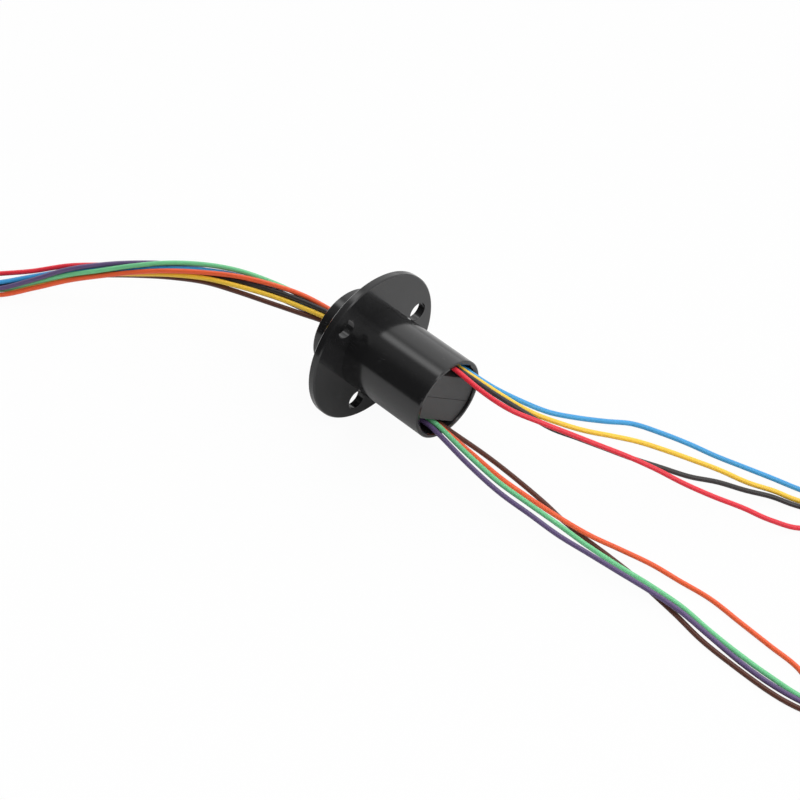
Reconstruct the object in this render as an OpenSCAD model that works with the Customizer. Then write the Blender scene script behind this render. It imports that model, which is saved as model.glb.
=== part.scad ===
// Flange-mounted capsule slip ring, eight circuits.
// Millimetres, +Z up. The rotation axis lies along X and points +X out of the
// stator's open end. The origin is the centre of the flange's front face.

/* [Housing] */
// Outer diameter of the housing tube
body_d = 22; // [20:0.5:28]
// Length of the tube in front of the flange
front_len = 26; // [26:0.5:40]
// Length of the tube behind the flange
rear_len = 8.6; // [8.6:0.1:14]
// Wall thickness of the tube
wall = 1.2; // [1:0.1:1.6]
// Thickness of the closed rear end
rear_wall = 1.5; // [1:0.1:2]
// Rounding of the housing's outer edges
edge_round = 0.3; // [0.1:0.1:0.5]

/* [Flange] */
// Outer diameter of the flange
flange_d = 41.5; // [38:0.5:60]
// Thickness of the flange
flange_t = 2.1; // [1.5:0.1:3]
// Diameter of the circle through the mounting holes
hole_circle_d = 31.2; // [30:0.1:34]
// Diameter of a mounting hole
hole_d = 5.3; // [3:0.1:6]
// Number of mounting holes
hole_count = 3; // [2:1:6]
// Angle of the first hole from +Y toward +Z
hole_clock = 6; // [0:1:119]

/* [Rotor] */
// Number of slip rings
ring_count = 8; // [2:1:8]
// Outer diameter of a slip ring
ring_d = 9; // [8.6:0.1:9.4]
// Width of a slip ring
ring_w = 1.3; // [1.1:0.05:1.4]
// Width of an insulating spacer
spacer_w = 0.85; // [0.7:0.05:0.9]
// Depth of the V groove in a ring
groove_depth = 0.5; // [0.3:0.05:0.55]
// Bore of the hollow shaft
shaft_bore = 5; // [4.8:0.1:5.2]
// Length of shaft that stands out behind the housing
nose_len = 3; // [1:0.5:5]

/* [Brushes] */
// Angle of the upper brush holder from +Y toward +Z
holder_clock = 50; // [0:5:90]
// Distance of a holder's outer flat from the axis
holder_flat = 6; // [5.9:0.1:6.4]
// Depth of the holders' front faces inside the tube
holder_recess = 0.7; // [0.3:0.1:1.5]
// Gap at the seam between the two holders
seam_gap = 0.12; // [0.05:0.01:0.3]
// Thickness of a brush board
board_t = 1; // [0.6:0.1:1]
// Diameter of a brush wire
wire_d = 0.3; // [0.2:0.05:0.3]

/* [Leads] */
// Outer diameter of a lead's insulation
lead_d = 1.3; // [1.1:0.1:1.3]

/* [Hidden] */
$fn = 64;
eps = 0.01;

// Colours
plastic_black = [0.07, 0.07, 0.07];
holder_grey = [0.13, 0.13, 0.13];
spacer_grey = [0.2, 0.2, 0.21];
board_green = [0.08, 0.3, 0.16];
gold = [0.85, 0.65, 0.25];
solder = [0.7, 0.7, 0.72];
steel = [0.62, 0.63, 0.65];
bronze = [0.6, 0.42, 0.2];
epoxy = [0.1, 0.1, 0.11];
tie_black = [0.05, 0.05, 0.05];
pvc_blue = [0.16, 0.52, 0.75];
pvc_yellow = [0.9, 0.72, 0.15];
pvc_black = [0.06, 0.06, 0.06];
pvc_red = [0.8, 0.08, 0.12];
pvc_purple = [0.3, 0.2, 0.45];
pvc_green = [0.35, 0.7, 0.4];
pvc_orange = [0.88, 0.3, 0.12];
pvc_brown = [0.3, 0.14, 0.09];

// Housing, from the rear to the front
body_r = body_d / 2;
bore_r = body_r - wall;
flange_r = flange_d / 2;
flange_back = -flange_t;
rear_x = flange_back - rear_len;
rear_wall_x = rear_x + rear_wall;
rear_hole_r = 5;
boss_wall = 1.6;
bevel = 0.3;

// Radial gap between pieces that are pressed or glued together
seat_fit = 0.02;

// Rear bearing, 8 x 12 x 3.5
rear_bearing = [8, 12, 3.5];
// The shaft fills the bore of its bearing
shaft_d = rear_bearing[0];
// Front bearing, 6 x 10 x 3
front_bearing = [6, 10, 3];
race_gap = 0.5;
ball_r = 0.6;
ball_gap = 0.05;
cage_w = 1.7;
cage_t = 0.3;
pocket_gap = 0.06;
rear_ball_count = 9;
front_ball_count = 8;
retainer_t = 0.6;
retainer_w = 1;
washer_t = 0.3;
washer_w = 0.65;
rear_bearing_x = rear_wall_x;
rear_bearing_end = rear_bearing_x + rear_bearing[2];
boss_end = rear_bearing_end + retainer_t + 0.1;

// Rotor, from the rear to the front
collar_r = 4.6;
stack_x = -3;
core_r = 3.3;
ring_bore_r = core_r + seat_fit;
stub_r = front_bearing[0] / 2;
pitch = ring_w + spacer_w;
stack_end = stack_x + ring_count * pitch + spacer_w;
clip_t = 0.8;
clip_r = 4.4;
spacer_r = ring_d / 2 + 0.35;
front_bearing_x = 17.5;
front_bearing_end = front_bearing_x + front_bearing[2];
sleeve_r = 3.6;
stub_end = front_bearing_end - 0.1;
bore_end = 14;
potting_x = -6.2;
nose_x = rear_x - nose_len;
nose_bevel = 0.4;

// Brush holders and boards
holder_fit = 0.05;
holder_x = boss_end + 0.4;
holder_end = front_len - holder_recess;
holder_bore_r = 5.3;
seat_x = front_bearing_x - 0.2;
washer_x = front_bearing_end;
seat_end = washer_x + washer_t;
slot_w = 0.9;
slot_half = 4.9;
slot_floor = 2.5;
board_x = -2;
board_end = 19.5;
board_half = 5.5;
brush_gap = 0.08;
brush_tip = 1.2;
groove_r = ring_d / 2 - groove_depth;
brush_at = groove_r + (wire_d / 2 + brush_gap) / sin(45);

// Solder joints and bare lead ends
tail_r = 0.3;
tail_x = 17.2;
joint_x = 17.8;
joint_r = 0.5;
lead_start_x = 20;

// Lead places in the open end: [distance along the clock line, distance beside it]
red_exit = [8.2, 3.6];
black_exit = [8.2, 1.6];
yellow_exit = [8.2, -0.4];
blue_exit = [8.2, -2.4];
purple_exit = [-8.4, -0.6];
green_exit = [-7.3, -1.7];
orange_exit = [-7.7, -3.3];
brown_exit = [-7.5, -4.9];
upper_exits = [red_exit, black_exit, yellow_exit, blue_exit];
lower_exits = [purple_exit, green_exit, orange_exit, brown_exit];

// The surface that the leads lie on, level with the flange's lowest point
lead_r = lead_d / 2;
lead_sides = 8;
surface_z = -flange_r;
laid = surface_z + lead_r;

// Coils of spare lead: centre, then the turns
upper_coil_at = [120, 53];
lower_coil_at = [148, 12];
rotor_coil_at = [-110, -60];
upper_heading = 36.9;
lower_heading = 0;
rotor_heading = 222;
coil_inner_r = 5.8;
coil_step = 1.35;
coil_columns = 4;
coil_inner = coil_inner_r - lead_r;
coil_outer = coil_inner_r + (coil_columns - 1) * coil_step + lead_r;
entry_gap = 0.1;
tie_t = 0.5;
tie_angle = 18;
stator_coil_h = [6.8, 4.6];
rotor_coil_h = [12.6, 8.6];

// Routes of the stator leads beyond the open end, on the surface from "laid" on
blue_route = [
  [33.5, 8, 4], [40.5, 10.5, 2.5], [46.5, 14, 0.5], [51.5, 19, -1.5],
  [56, 24.5, -3.5], [60, 30, -5.5], [65.5, 34.5, -8], [71.5, 38.5, -10.5],
  [77.5, 42, -13], [83.5, 46, -15.5], [89.5, 50, -18], [95.5, 53.5, laid],
  [102.5, 56, laid]
];
yellow_route = [
  [38, 7.5, 4], [45, 9.5, 2.5], [50.5, 13, 0.5], [55.5, 17, -1.5],
  [60.5, 22, -3.5], [65, 26.5, -5.5], [70.5, 31, -8], [75.5, 35, -10.5],
  [81, 39, -13], [87, 43, -16], [92.5, 47, -18], [98, 50.5, laid]
];
black_route = [
  [36, 5.5, 5.5], [43.5, 7.5, 3.5], [50.5, 10, 1], [56, 14, -1.5],
  [61.5, 18, -4], [67, 22, -6.5], [72.5, 26.5, -9], [78, 31, -11.5],
  [83, 36, -13.5], [88, 41, -16.5], [93, 45.5, -18.5], [99, 49, laid]
];
red_route = [
  [35.5, 2.5, 7.5], [43, 4, 6], [49.5, 7.5, 4], [55.5, 11.5, 1.5],
  [61.5, 15.5, -1], [67.5, 19.5, -3.5], [73.5, 23, -6], [80, 26.5, -9],
  [86, 30.5, -12], [92, 35, -15], [98, 39, -18], [104, 44, laid]
];
orange_route = [
  [36, -2, -10], [45.5, -1.5, -12], [54, 0, -14], [62.5, 1.5, -15.5],
  [70.5, 3.5, -17], [78, 6, -18], [86, 8.5, -19], [93.5, 10, -20],
  [102.5, 11, laid], [112, 10.5, laid], [121.5, 10, laid], [130, 9.5, laid]
];
brown_route = [
  [37.5, 1, -11.5], [46.5, 2, -13.5], [56, 2.5, -15.5], [62.5, 2.5, -17],
  [69, 3, -18.5], [77, 3.5, -19.5], [85, 3.5, laid], [92.5, 2.5, laid],
  [100, 1.5, laid], [109, 0, laid], [118.5, -0.5, laid], [129.5, -0.5, laid],
  [137, 0.5, laid]
];
green_route = [
  [35.5, -3.5, -9], [46, -3.5, -11], [55, -2.5, -12.5], [64.5, -1, -14.5],
  [73, 0, -16], [81.5, 1.5, -17.5], [90.5, 3, -18.5], [99.5, 4, -19.5],
  [108.5, 3.5, laid], [118, 3, laid], [127, 3, laid], [135.5, 3.5, laid]
];
purple_route = [
  [38, -5.5, -9.5], [48.5, -5.5, -11.5], [58, -4.5, -13], [66.5, -3.5, -14.5],
  [75, -2, -15.5], [83.5, -0.5, -16.5], [92, 1, -17.5], [100.5, 2, -18.5],
  [110, 1.5, -19], [119.5, 1, -19.5], [128.5, 1, -19.5], [136.5, 2, -19.5]
];

// Middle of the rotor's lead bundle, from the shaft's nose to the surface
bundle_route = [
  [nose_x, 0, 0], [-24, -1.5, -0.5], [-33.5, -3.5, -1.5], [-43.5, -6, -2.5],
  [-53, -9, -4], [-62, -13.5, -5.5], [-70.5, -18, -8], [-78.5, -23, -10.5],
  [-86.5, -28.5, -13], [-94, -35, -16], [-101, -41.5, -18.4]
];
// Where each lead lies in the bundle at those points: [up, toward the front]
bundle_front = [0.5, -0.5, 0.7];
orange_lay = [
  [1.5, 0.3], [2.1, 0.8], [2, 1.4], [1.2, 1.7], [0.2, 2], [-0.4, 2.1],
  [-0.8, 1.8], [-1.3, 1.4], [-1.9, 1.1], [-2.3, 1.1], [-2.6, 1.2]
];
black_lay = [
  [0.7, 1.4], [0.7, 1.4], [0.6, 1.1], [0, 0.8], [-0.4, 0.1], [-0.5, -0.3],
  [-0.2, -0.7], [0.2, -0.9], [0.4, -0.7], [0.3, -0.3], [0.3, 0]
];
yellow_lay = [
  [-0.7, 1.4], [-0.8, 1.3], [-0.8, 1.2], [-1.2, 1.5], [-1.2, 1.4], [-1.3, 1],
  [-1.2, 0.4], [-0.9, 0], [-1, -0.2], [-1.1, -0.6], [-1.2, -1.1]
];
brown_lay = [
  [-1.5, 0.3], [-2.4, 0.8], [-2.6, 0.9], [-2.6, 0.8], [-2.2, 0.4], [-2, -0.3],
  [-1.6, -1], [-1.1, -1.4], [-0.7, -1.7], [-0.1, -1.7], [0.8, -2]
];
green_lay = [
  [1.2, -1], [1.7, -0.6], [2.5, 0.1], [2.7, 0.9], [2.3, 1.2], [1.7, 1.5],
  [0.9, 2], [0.1, 2], [-0.5, 1.6], [-0.8, 0.9], [-1.2, 0.5]
];
purple_lay = [
  [-1.2, -1], [-1.1, -0.5], [-0.5, -0.2], [0.2, -0.7], [0.9, -0.7], [1.5, 0],
  [1.7, 0.8], [1.6, 1.4], [0.9, 2.1], [-0.2, 2.3], [-0.9, 2]
];
blue_lay = [
  [0, 0], [0.3, 0], [1, -0.4], [1.4, 0.2], [0.9, 0.8], [0.3, 0.9],
  [0.3, 0.7], [0.4, 0.6], [0.6, 0.7], [0.8, 1.1], [0.7, 1.6]
];
red_lay = [
  [0, -1.6], [0.1, -1.5], [-0.2, -1.6], [-0.5, -2], [-0.2, -1.6], [0.7, -1.2],
  [1.3, -0.6], [1.6, -0.3], [2, 0.3], [2.3, 0.6], [3.1, 0.3]
];

// ---------------------------------------------------------------- geometry

// Turns a shape made along +Z so that it runs along +X.
module along_x() {
  rotate([0, 90, 0]) children();
}

// Turns a shape made with its clock line on +Y to an angle about the axis.
module clocked(angle) {
  rotate([angle, 0, 0]) children();
}

// A plain ring about the axis, from x0 to x1.
module ring(outer_r, inner_r, x0, x1) {
  along_x() rotate_extrude()
    translate([inner_r, x0]) square([outer_r - inner_r, x1 - x0]);
}

// A solid round bar about the axis, from x0 to x1.
module bar(r, x0, x1) {
  along_x() translate([0, 0, x0]) cylinder(r = r, h = x1 - x0);
}

// A point on a smooth curve between p1 and p2, with t from 0 to 1.
function curve_point(p0, p1, p2, p3, t) =
  0.5 * (2 * p1 + (p2 - p0) * t
  + (2 * p0 - 5 * p1 + 4 * p2 - p3) * t * t
  + (3 * p1 - p0 - 3 * p2 + p3) * t * t * t);

// The smooth curve through a list of points, with a number of steps per span.
function smooth_curve(p, steps) = let (last = len(p) - 1) [
  for (i = [0 : last - 1], k = [0 : steps - 1])
    curve_point(
      i == 0 ? 2 * p[0] - p[1] : p[i - 1], p[i], p[i + 1],
      i == last - 1 ? 2 * p[last] - p[last - 1] : p[i + 2], k / steps
    ),
  p[last]
];

function unit(v) = v / norm(v);

// The direction of a list of points at one of them.
function heading(p, i) =
  unit(p[min(i + 1, len(p) - 1)] - p[max(i - 1, 0)]);

// A lead's tube along a list of points.
module lead_tube(route) {
  rings = [
    for (i = [0 : len(route) - 1])
      let (
        t = heading(route, i),
        side = unit(cross([0, 0, 1], t)),
        up = cross(t, side)
      )
      for (k = [0 : lead_sides - 1])
        let (a = (k + 0.5) * 360 / lead_sides)
          route[i] + lead_r * (cos(a) * side + sin(a) * up)
  ];
  n = lead_sides;
  last = len(route) - 1;
  walls = [
    for (i = [0 : last - 1], k = [0 : n - 1])
      let (a = i * n + k, b = i * n + (k + 1) % n)
        each [[a, a + n, b], [b, a + n, b + n]]
  ];
  ends = [
    [for (k = [0 : n - 1]) k],
    [for (k = [n - 1 : -1 : 0]) last * n + k]
  ];
  polyhedron(points = rings, faces = concat(walls, ends));
}

// A place in the open end as a point at a given x.
function exit_point(exit, x) = [
  x,
  exit[0] * cos(holder_clock) - exit[1] * sin(holder_clock),
  exit[0] * sin(holder_clock) + exit[1] * cos(holder_clock)
];

// Where a lead meets its coil, given the coil's centre, the way the lead is
// heading, the side that the coil turns to (1 left, -1 right), its column
// from the inside and its row from the bottom.
function coil_entry(at, way, turn, column, row) =
  let (
    r = coil_inner_r + column * coil_step,
    back = entry_gap + sqrt(pow(coil_outer, 2) - pow(r - lead_r, 2))
  )
    [
      at[0] + turn * r * sin(way) - back * cos(way),
      at[1] - turn * r * cos(way) - back * sin(way),
      laid + tie_t + row * coil_step
    ];

// A stator lead, from its solder joint out of the open end to its coil.
module stator_lead(exit, route, entry) {
  lead_tube(smooth_curve(concat(
    [exit_point(exit, lead_start_x), exit_point(exit, front_len)],
    route, [entry]), 2));
}

// A rotor lead, from the potting in the shaft along the bundle to its coil.
module rotor_lead(lay, entry) {
  last = len(bundle_route) - 1;
  laid_out = [
    for (i = [0 : last])
      let (
        t = i == 0 ? [-1, 0, 0] : heading(bundle_route, i),
        up = unit(cross(t, bundle_front)),
        front = cross(up, t)
      )
      bundle_route[i] + lay[i][0] * up + lay[i][1] * front
  ];
  start = laid_out[0] + [potting_x - nose_x, 0, 0];
  lead_tube(smooth_curve(concat([start], laid_out, [entry]), 3));
}

// The section of a coil, low on its outside, with a margin all round.
module coil_section(height, margin) {
  polygon([
    [coil_inner - margin, -margin], [coil_outer + margin, -margin],
    [coil_outer + margin, height[1] + margin],
    [coil_inner + lead_d, height[0] + margin],
    [coil_inner - margin, height[0] + margin]
  ]);
}

// The outer shape of a coil of leads.
module coil(at, height) {
  translate([at[0], at[1], surface_z + tie_t]) rotate_extrude()
    coil_section(height, 0);
}

// A band round a coil's turns at one place.
module coil_tie(at, height, place) {
  translate([at[0], at[1], surface_z + tie_t])
    rotate([0, 0, place]) rotate_extrude(angle = tie_angle)
      difference() {
        coil_section(height, tie_t);
        coil_section(height, 0);
      }
}

// ----------------------------------------------------------------- housing

// Tube, flange, rear end and bearing boss, moulded in one piece.
module housing() {
  c = edge_round;
  boss_r = rear_bearing[1] / 2 + boss_wall;
  color(plastic_black) difference() {
    along_x() rotate_extrude() polygon([
      [rear_hole_r, rear_x], [body_r - c, rear_x],
      [body_r, rear_x + c], [body_r, flange_back],
      [flange_r - c, flange_back], [flange_r, flange_back + c],
      [flange_r, -c], [flange_r - c, 0],
      [body_r, 0], [body_r, front_len - c],
      [body_r - c, front_len], [bore_r + c, front_len],
      [bore_r, front_len - c], [bore_r, rear_wall_x],
      [boss_r, rear_wall_x], [boss_r, boss_end - bevel],
      [boss_r - bevel, boss_end], [rear_bearing[1] / 2, boss_end],
      [rear_bearing[1] / 2, rear_wall_x], [rear_hole_r, rear_wall_x]
    ]);
    for (i = [0 : hole_count - 1])
      clocked(hole_clock + i * 360 / hole_count)
        translate([0, hole_circle_d / 2, 0])
          bar(hole_d / 2, flange_back - 1, 1);
  }
}

// ---------------------------------------------------------- brush holders

// One half-round brush holder with its clock line on +Y. Its first slot is
// over the ring with the given number.
module brush_holder(first) {
  color(holder_grey) difference() {
    bar(bore_r - holder_fit, holder_x, holder_end);
    bar(holder_bore_r, holder_x - 1, seat_x);
    bar(front_bearing[1] / 2, seat_x - eps, seat_end);
    translate([holder_x - 1, seam_gap / 2 - body_d, -body_d])
      cube([front_len + 20, body_d, 2 * body_d]);
    translate([holder_x - 1, holder_flat, -body_d])
      cube([front_len + 20, body_d, 2 * body_d]);
    for (i = [first : 2 : ring_count])
      translate([ring_middle(i) - slot_w / 2, slot_floor, -slot_half])
        cube([slot_w, body_d, 2 * slot_half]);
  }
}

// The middle of a slip ring along the axis, counting from 1 at the rear.
function ring_middle(i) = stack_x + (i - 1) * pitch + spacer_w + ring_w / 2;

// The circuit board on a holder's flat, with its clock line on +Y.
module brush_board() {
  color(board_green)
    translate([board_x, holder_flat, -board_half])
      cube([board_end - board_x, board_t, 2 * board_half]);
}

// Gold alloy wires on both sides of every second ring.
module brushes(first) {
  color(gold)
    for (i = [first : 2 : ring_count], side = [-1, 1])
      translate([ring_middle(i), -brush_tip, side * brush_at])
        rotate([-90, 0, 0])
          cylinder(d = wire_d, h = brush_tip + holder_flat);
}

// Tinned lead ends soldered to the board.
module solder_joints(exits) {
  foot = holder_flat + board_t;
  color(solder)
    for (e = exits)
      let (u = abs(e[0]), v = sign(e[0]) * e[1]) {
        translate([tail_x, u, v]) rotate([0, 90, 0])
          cylinder(r = tail_r, h = lead_start_x - tail_x);
        translate([joint_x, foot, v]) rotate([-90, 0, 0])
          cylinder(r = joint_r, h = u + tail_r - foot);
      }
}

module upper_brush_holder() {
  clocked(holder_clock) brush_holder(1);
}

module lower_brush_holder() {
  clocked(holder_clock + 180) brush_holder(2);
}

module upper_brush_board() {
  clocked(holder_clock) brush_board();
}

module lower_brush_board() {
  clocked(holder_clock + 180) brush_board();
}

module upper_brushes() {
  clocked(holder_clock) brushes(1);
}

module lower_brushes() {
  clocked(holder_clock + 180) brushes(2);
}

module upper_solder_joints() {
  clocked(holder_clock) solder_joints(upper_exits);
}

module lower_solder_joints() {
  clocked(holder_clock + 180) solder_joints(lower_exits);
}

// ---------------------------------------------------------------- bearings

function race_w(size) = (size[1] - size[0]) / 2 / 2 - race_gap / 2;

// The inner race of a bearing [bore, outside, width] that starts at x.
module inner_race(size, x) {
  color(steel) difference() {
    ring(size[0] / 2 + race_w(size), size[0] / 2 + seat_fit, x, x + size[2]);
    ball_track(size, x);
  }
}

// The outer race of a bearing.
module outer_race(size, x) {
  color(steel) difference() {
    ring(size[1] / 2 - seat_fit, size[1] / 2 - race_w(size), x, x + size[2]);
    ball_track(size, x);
  }
}

function ball_circle_r(size) = (size[0] + size[1]) / 4;

// The space that the balls run in.
module ball_track(size, x) {
  along_x() rotate_extrude()
    translate([ball_circle_r(size), x + size[2] / 2])
      circle(r = ball_r + ball_gap, $fn = 32);
}

// The ring that keeps the balls apart.
module cage(size, x, count) {
  r = ball_circle_r(size);
  middle = x + size[2] / 2;
  color(bronze) difference() {
    ring(r + cage_t / 2, r - cage_t / 2, middle - cage_w / 2, middle + cage_w / 2);
    for (i = [0 : count - 1])
      clocked(i * 360 / count) translate([middle, r, 0])
        rotate([90, 0, 0])
          cylinder(r = ball_r + pocket_gap, h = 2, center = true, $fn = 24);
  }
}

module balls(size, x, count) {
  color(steel)
    for (i = [0 : count - 1])
      clocked(i * 360 / count)
        translate([x + size[2] / 2, ball_circle_r(size), 0])
          rotate([0, 90, 0]) rotate_extrude() intersection() {
            circle(r = ball_r, $fn = 32);
            translate([0, -ball_r]) square([ball_r, 2 * ball_r]);
          }
}

module rear_outer_race() {
  outer_race(rear_bearing, rear_bearing_x);
}

module rear_inner_race() {
  inner_race(rear_bearing, rear_bearing_x);
}

module rear_cage() {
  cage(rear_bearing, rear_bearing_x, rear_ball_count);
}

module rear_balls() {
  balls(rear_bearing, rear_bearing_x, rear_ball_count);
}

module front_outer_race() {
  outer_race(front_bearing, front_bearing_x);
}

module front_inner_race() {
  inner_race(front_bearing, front_bearing_x);
}

module front_cage() {
  cage(front_bearing, front_bearing_x, front_ball_count);
}

module front_balls() {
  balls(front_bearing, front_bearing_x, front_ball_count);
}

// Ring pressed into the boss behind the rear bearing.
module rear_retaining_ring() {
  r = rear_bearing[1] / 2 - seat_fit;
  color(steel)
    ring(r, r - retainer_w, rear_bearing_end, rear_bearing_end + retainer_t);
}

module front_preload_washer() {
  r = front_bearing[1] / 2 - seat_fit;
  color(steel) ring(r, r - washer_w, washer_x, seat_end);
}

// ------------------------------------------------------------------- rotor

// Hollow shaft, stepped down toward the front bearing.
module rotor_shaft() {
  r = shaft_d / 2;
  hollow = shaft_bore / 2;
  color(plastic_black) along_x() rotate_extrude() polygon([
    [hollow, nose_x], [r - nose_bevel, nose_x], [r, nose_x + nose_bevel],
    [r, rear_bearing_end], [collar_r, rear_bearing_end],
    [collar_r, stack_x], [core_r, stack_x],
    [core_r, stack_end], [stub_r, stack_end],
    [stub_r, stub_end - bevel], [stub_r - bevel, stub_end],
    [0, stub_end], [0, bore_end], [hollow, bore_end]
  ]);
}

// Epoxy that fills the shaft round the ends of the leads.
module lead_potting() {
  color(epoxy) bar(shaft_bore / 2 - seat_fit, potting_x, bore_end);
}

// One gold-plated slip ring with its V groove.
module slip_ring(i) {
  r = ring_d / 2;
  x = ring_middle(i);
  half = ring_w / 2;
  color(gold) along_x() rotate_extrude() polygon([
    [ring_bore_r, x - half], [r, x - half], [r, x - groove_depth],
    [groove_r, x], [r, x + groove_depth], [r, x + half],
    [ring_bore_r, x + half]
  ]);
}

// Insulating rings before, between and after the slip rings.
module ring_spacers() {
  color(spacer_grey)
    for (i = [0 : ring_count])
      ring(spacer_r, ring_bore_r, stack_x + i * pitch, stack_x + i * pitch + spacer_w);
}

module stack_clip() {
  color(steel) ring(clip_r, stub_r + seat_fit, stack_end, stack_end + clip_t);
}

module bearing_sleeve() {
  color(steel) ring(sleeve_r, stub_r + seat_fit, stack_end + clip_t, front_bearing_x);
}

// ------------------------------------------------------------ stator leads

module blue_stator_lead() {
  color(pvc_blue) stator_lead(blue_exit, blue_route,
    coil_entry(upper_coil_at, upper_heading, -1, 3, 0));
}

module yellow_stator_lead() {
  color(pvc_yellow) stator_lead(yellow_exit, yellow_route,
    coil_entry(upper_coil_at, upper_heading, -1, 2, 0));
}

module black_stator_lead() {
  color(pvc_black) stator_lead(black_exit, black_route,
    coil_entry(upper_coil_at, upper_heading, -1, 1, 0));
}

module red_stator_lead() {
  color(pvc_red) stator_lead(red_exit, red_route,
    coil_entry(upper_coil_at, upper_heading, -1, 0, 0));
}

module orange_stator_lead() {
  color(pvc_orange) stator_lead(orange_exit, orange_route,
    coil_entry(lower_coil_at, lower_heading, 1, 0, 0));
}

module green_stator_lead() {
  color(pvc_green) stator_lead(green_exit, green_route,
    coil_entry(lower_coil_at, lower_heading, 1, 1, 0));
}

module purple_stator_lead() {
  color(pvc_purple) stator_lead(purple_exit, purple_route,
    coil_entry(lower_coil_at, lower_heading, 1, 2, 0));
}

module brown_stator_lead() {
  color(pvc_brown) stator_lead(brown_exit, brown_route,
    coil_entry(lower_coil_at, lower_heading, 1, 3, 0));
}

module upper_lead_coil() {
  color(pvc_blue) coil(upper_coil_at, stator_coil_h);
}

module upper_coil_tie() {
  color(tie_black) coil_tie(upper_coil_at, stator_coil_h, -60);
}

module lower_lead_coil() {
  color(pvc_orange) coil(lower_coil_at, stator_coil_h);
}

module lower_coil_tie() {
  color(tie_black) coil_tie(lower_coil_at, stator_coil_h, 0);
}

// ------------------------------------------------------------- rotor leads

function rotor_entry(column, row) =
  coil_entry(rotor_coil_at, rotor_heading, 1, column, row);

module orange_rotor_lead() {
  color(pvc_orange) rotor_lead(orange_lay, rotor_entry(0, 0));
}

module purple_rotor_lead() {
  color(pvc_purple) rotor_lead(purple_lay, rotor_entry(0, 1));
}

module green_rotor_lead() {
  color(pvc_green) rotor_lead(green_lay, rotor_entry(1, 0));
}

module blue_rotor_lead() {
  color(pvc_blue) rotor_lead(blue_lay, rotor_entry(1, 1));
}

module yellow_rotor_lead() {
  color(pvc_yellow) rotor_lead(yellow_lay, rotor_entry(2, 0));
}

module black_rotor_lead() {
  color(pvc_black) rotor_lead(black_lay, rotor_entry(2, 1));
}

module brown_rotor_lead() {
  color(pvc_brown) rotor_lead(brown_lay, rotor_entry(3, 0));
}

module red_rotor_lead() {
  color(pvc_red) rotor_lead(red_lay, rotor_entry(3, 1));
}

module rotor_lead_coil() {
  color(pvc_black) coil(rotor_coil_at, rotor_coil_h);
}

module rotor_coil_tie() {
  color(tie_black) coil_tie(rotor_coil_at, rotor_coil_h, 200);
}

// ------------------------------------------------------------------- nodes

housing();
upper_brush_holder();
lower_brush_holder();
upper_brush_board();
lower_brush_board();
upper_brushes();
lower_brushes();
upper_solder_joints();
lower_solder_joints();
rear_outer_race();
rear_retaining_ring();
front_outer_race();
front_preload_washer();
rear_cage();
rear_balls();
front_cage();
front_balls();
rotor_shaft();
lead_potting();
slip_ring(1);  // ring_1
slip_ring(2);  // ring_2
slip_ring(3);  // ring_3
slip_ring(4);  // ring_4
slip_ring(5);  // ring_5
slip_ring(6);  // ring_6
slip_ring(7);  // ring_7
slip_ring(8);  // ring_8
ring_spacers();
stack_clip();
bearing_sleeve();
rear_inner_race();
front_inner_race();
blue_stator_lead();
yellow_stator_lead();
black_stator_lead();
red_stator_lead();
purple_stator_lead();
green_stator_lead();
orange_stator_lead();
brown_stator_lead();
upper_lead_coil();
upper_coil_tie();
lower_lead_coil();
lower_coil_tie();
blue_rotor_lead();
yellow_rotor_lead();
black_rotor_lead();
red_rotor_lead();
purple_rotor_lead();
green_rotor_lead();
orange_rotor_lead();
brown_rotor_lead();
rotor_lead_coil();
rotor_coil_tie();
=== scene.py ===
"""A capsule slip ring with a flange and eight leads on each side.

The CAD model is loaded as a fixed frame. Sixteen PVC leads stand for its plain
lead tubes and coils, and every other piece gets its finish. All sizes are in
metres, in the frame of the CAD model: +X is the axis out of the stator's open
end, +Z is up, and the origin is the centre of the flange's front face.
"""

import logging
import math
from dataclasses import dataclass
from enum import Enum
from functools import reduce
from typing import Any, Iterable, Mapping, Sequence

import bpy
from mathutils import Matrix, Vector


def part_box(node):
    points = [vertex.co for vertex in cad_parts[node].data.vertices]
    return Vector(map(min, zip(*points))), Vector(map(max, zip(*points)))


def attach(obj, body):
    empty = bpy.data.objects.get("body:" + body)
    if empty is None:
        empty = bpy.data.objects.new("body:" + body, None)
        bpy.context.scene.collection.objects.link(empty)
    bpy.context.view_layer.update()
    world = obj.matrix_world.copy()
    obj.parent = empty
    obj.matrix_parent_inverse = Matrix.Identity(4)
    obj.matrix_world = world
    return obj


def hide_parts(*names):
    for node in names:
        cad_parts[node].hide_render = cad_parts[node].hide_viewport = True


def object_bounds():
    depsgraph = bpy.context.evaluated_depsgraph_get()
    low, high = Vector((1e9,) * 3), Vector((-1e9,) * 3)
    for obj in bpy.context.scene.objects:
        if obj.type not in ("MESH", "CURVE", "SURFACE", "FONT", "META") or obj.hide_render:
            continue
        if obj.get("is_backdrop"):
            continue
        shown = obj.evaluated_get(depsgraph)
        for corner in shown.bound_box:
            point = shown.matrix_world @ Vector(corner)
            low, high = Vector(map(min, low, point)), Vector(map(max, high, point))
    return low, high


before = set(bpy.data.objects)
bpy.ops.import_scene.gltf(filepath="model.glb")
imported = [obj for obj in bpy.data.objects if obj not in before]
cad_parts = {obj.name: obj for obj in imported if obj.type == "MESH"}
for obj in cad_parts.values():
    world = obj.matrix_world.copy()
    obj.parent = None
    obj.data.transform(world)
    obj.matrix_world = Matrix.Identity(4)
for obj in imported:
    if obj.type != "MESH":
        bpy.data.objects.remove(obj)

log = logging.getLogger("slip_ring")

Colour = tuple[float, float, float]
Point = tuple[float, float, float]
Socket = bpy.types.NodeSocket

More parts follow.
